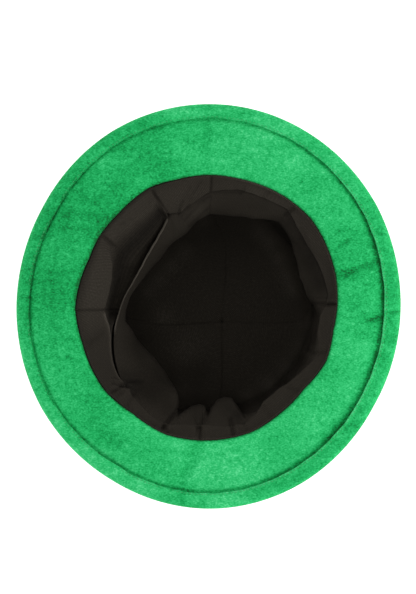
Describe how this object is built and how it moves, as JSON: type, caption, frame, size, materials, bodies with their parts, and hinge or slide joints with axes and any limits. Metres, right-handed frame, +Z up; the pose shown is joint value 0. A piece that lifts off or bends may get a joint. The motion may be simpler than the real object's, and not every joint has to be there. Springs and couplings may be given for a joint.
{
  "type": "leprechaun hat",
  "caption": "Green plush costume top hat with a tall crown, wide bound brim, loose black lining, plain band and square buckle, lying on its crown with the head opening up.",
  "frame": {"origin": "centre of the crown's flat top, on the outer face that the hat rests on", "axes": "+Z up out of the head opening, from the crown's flat top towards the brim; -Y towards the front of the hat, where the buckle is; +X to the right of the picture, +Y to its top"},
  "size_m": [0.2771, 0.2887, 0.1594],
  "materials": {
    "velvet": "matte pile",
    "lining": "matte ribbed weave",
    "band": "satin",
    "buckle": "metallised gold"
  },
  "bodies": {
    "root": {"crown_tip": "velvet", "crown_side": "velvet", "brim_upper": "velvet", "brim_under": "velvet", "brim_binding": "velvet", "lining_band": "lining", "lining_panel_right_front": "lining", "lining_panel_right_back": "lining", "lining_panel_left_back": "lining", "lining_panel_left_front": "lining", "hat_band": "band", "buckle": "buckle"}
  },
  "joints": []
}
